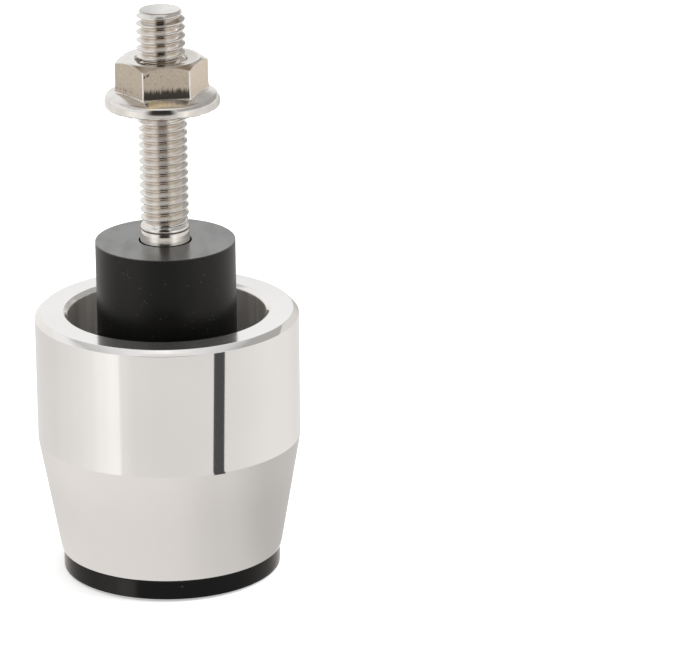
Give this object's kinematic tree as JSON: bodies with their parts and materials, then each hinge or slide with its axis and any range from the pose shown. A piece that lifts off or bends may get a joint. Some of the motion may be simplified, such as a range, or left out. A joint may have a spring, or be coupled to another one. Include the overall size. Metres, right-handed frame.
{
  "type": "bar end weight",
  "caption": "Turned weight that closes a motorbike handlebar's end: a polished body with a black cap, a long clamp bolt, a rubber expander bush and a flange nut.",
  "frame": {"origin": "centre of the cap's flat outer face, which the part stands on", "axes": "+Z along the bolt, from the cap towards the handlebar; the nut's hexagon is the only thing that sets X and Y"},
  "size_m": [0.032, 0.032, 0.0703],
  "materials": {
    "polished_alloy": "turned and polished",
    "black_anodised_alloy": "black anodised, satin",
    "fastener_steel": "bright plated steel",
    "bush_rubber": "cut rubber, satin"
  },
  "bodies": {
    "weight": {"weight_body": "polished_alloy", "end_cap": "black_anodised_alloy", "clamp_bolt": "fastener_steel", "expander_bush": "bush_rubber"},
    "nut": {"flange_nut": "fastener_steel"}
  },
  "joints": [
    {"name": "nut_travel", "type": "slide", "parent": "weight", "child": "nut", "axis": [0, 0, 1], "range_m": [-0.014, 0.005]}
  ]
}
